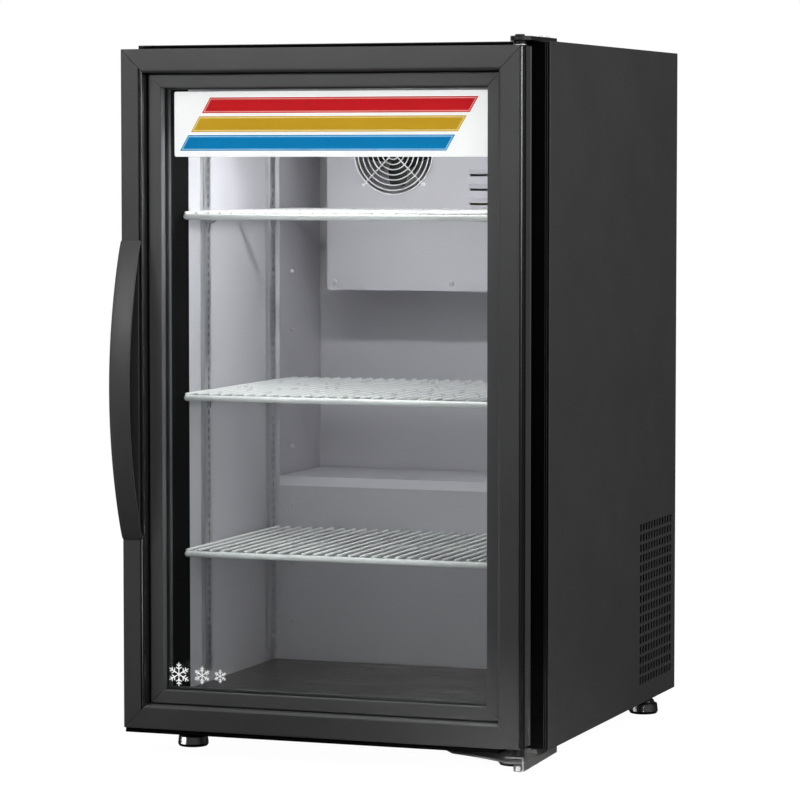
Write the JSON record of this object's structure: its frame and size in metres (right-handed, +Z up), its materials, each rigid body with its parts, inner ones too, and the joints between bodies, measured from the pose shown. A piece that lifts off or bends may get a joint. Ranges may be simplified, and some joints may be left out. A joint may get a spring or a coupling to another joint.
{
  "type": "glass-door refrigerator",
  "caption": "Countertop glass-door refrigerator with wire shelves, a lit header sign, a bowed door handle and a vented machine compartment.",
  "frame": {"origin": "centre of the object's bounding box at the underside of the feet", "axes": "+Z up, the door faces -Y, the hinges are at +X and the handle at -X"},
  "size_m": [0.62, 0.77, 1.0233],
  "materials": {
    "black_coat": "satin",
    "door_coat": "satin",
    "galvanised_steel": "satin",
    "stainless_floor": "satin",
    "liner": "satin",
    "foam": "matte",
    "breaker_plastic": "matte",
    "standard_metal": "satin",
    "coil_aluminium": "satin",
    "lens_plastic": "satin",
    "compressor_paint": "satin",
    "hinge_steel": "satin",
    "glass": "gloss",
    "sign": "gloss",
    "gasket_rubber": "matte",
    "shelf_coat": "satin",
    "foot_rubber": "satin"
  },
  "bodies": {
    "cabinet": {"left_side_panel": "black_coat", "right_side_panel": "black_coat", "top_panel": "black_coat", "rear_grille": "black_coat", "top_hinge_plate": "black_coat", "bottom_hinge_bracket": "black_coat", "base_plate": "galvanised_steel", "rear_panel": "galvanised_steel", "compartment_bulkhead": "galvanised_steel", "condenser_fan_shroud": "galvanised_steel", "condenser_fan_motor": "galvanised_steel", "floor_pan": "stainless_floor", "left_liner": "liner", "right_liner": "liner", "rear_liner": "liner", "ceiling_liner": "liner", "evaporator_cover": "liner", "lamp_housing": "liner", "foam_insulation": "foam", "breaker_frame": "breaker_plastic", "evaporator_fan_motor": "breaker_plastic", "electrical_box": "breaker_plastic", "cord_inlet": "breaker_plastic", "left_front_standard": "standard_metal", "left_rear_standard": "standard_metal", "right_front_standard": "standard_metal", "right_rear_standard": "standard_metal", "evaporator_coil": "coil_aluminium", "condenser_coil": "coil_aluminium", "lamp_lens": "lens_plastic", "compressor": "compressor_paint", "top_hinge_pin": "hinge_steel", "bottom_hinge_pin": "hinge_steel"},
    "door": {"door_left_rail": "door_coat", "door_right_rail": "door_coat", "door_top_rail": "door_coat", "door_bottom_rail": "door_coat", "left_glass_bead": "door_coat", "right_glass_bead": "door_coat", "top_glass_bead": "door_coat", "bottom_glass_bead": "door_coat", "outer_glass": "glass", "inner_glass": "glass", "glass_spacer": "coil_aluminium", "header_panel": "sign", "door_gasket": "gasket_rubber", "door_handle": "door_coat", "torsion_closer": "hinge_steel"},
    "evaporator_fan": {"evaporator_fan_blade": "breaker_plastic"},
    "condenser_fan": {"condenser_fan_blade": "standard_metal"},
    "thermostat_knob": {"thermostat_knob": "breaker_plastic"},
    "light_switch": {"light_switch": "breaker_plastic"},
    "upper_shelf": {"upper_shelf": "shelf_coat"},
    "middle_shelf": {"middle_shelf": "shelf_coat"},
    "lower_shelf": {"lower_shelf": "shelf_coat"},
    "front_left_foot": {"front_left_foot": "foot_rubber"},
    "front_right_foot": {"front_right_foot": "foot_rubber"},
    "rear_left_foot": {"rear_left_foot": "foot_rubber"},
    "rear_right_foot": {"rear_right_foot": "foot_rubber"}
  },
  "joints": [
    {"name": "door_swing", "type": "hinge", "parent": "cabinet", "child": "door", "pos_m": [0.28, -0.317, 0], "axis": [0, 0, 1], "range_deg": [0, 120], "stiffness_Nm_per_rad": 0.6, "springref_deg": -17.19},
    {"name": "evaporator_fan_spin", "type": "hinge", "parent": "cabinet", "child": "evaporator_fan", "pos_m": [-0.095, 0.229, 0.862], "axis": [0, 1, 0], "continuous": true},
    {"name": "condenser_fan_spin", "type": "hinge", "parent": "cabinet", "child": "condenser_fan", "pos_m": [0.18, 0.272, 0.175], "axis": [1, 0, 0], "continuous": true},
    {"name": "thermostat_turn", "type": "hinge", "parent": "cabinet", "child": "thermostat_knob", "pos_m": [0.15, 0.209, 0.7], "axis": [0, -1, 0], "range_deg": [0, 270]},
    {"name": "light_switch_rock", "type": "hinge", "parent": "cabinet", "child": "light_switch", "pos_m": [0.1, 0.212, 0.7], "axis": [-1, 0, 0], "range_deg": [0, 16]},
    {"name": "upper_shelf_lift", "type": "slide", "parent": "cabinet", "child": "upper_shelf", "axis": [0, 0, 1], "range_m": [0, 0.02]},
    {"name": "middle_shelf_lift", "type": "slide", "parent": "cabinet", "child": "middle_shelf", "axis": [0, 0, 1], "range_m": [0, 0.02]},
    {"name": "lower_shelf_lift", "type": "slide", "parent": "cabinet", "child": "lower_shelf", "axis": [0, 0, 1], "range_m": [0, 0.02]},
    {"name": "front_left_foot_extend", "type": "slide", "parent": "cabinet", "child": "front_left_foot", "axis": [0, 0, -1], "range_m": [0, 0.012]},
    {"name": "front_right_foot_extend", "type": "slide", "parent": "cabinet", "child": "front_right_foot", "axis": [0, 0, -1], "range_m": [0, 0.012]},
    {"name": "rear_left_foot_extend", "type": "slide", "parent": "cabinet", "child": "rear_left_foot", "axis": [0, 0, -1], "range_m": [0, 0.012]},
    {"name": "rear_right_foot_extend", "type": "slide", "parent": "cabinet", "child": "rear_right_foot", "axis": [0, 0, -1], "range_m": [0, 0.012]}
  ]
}
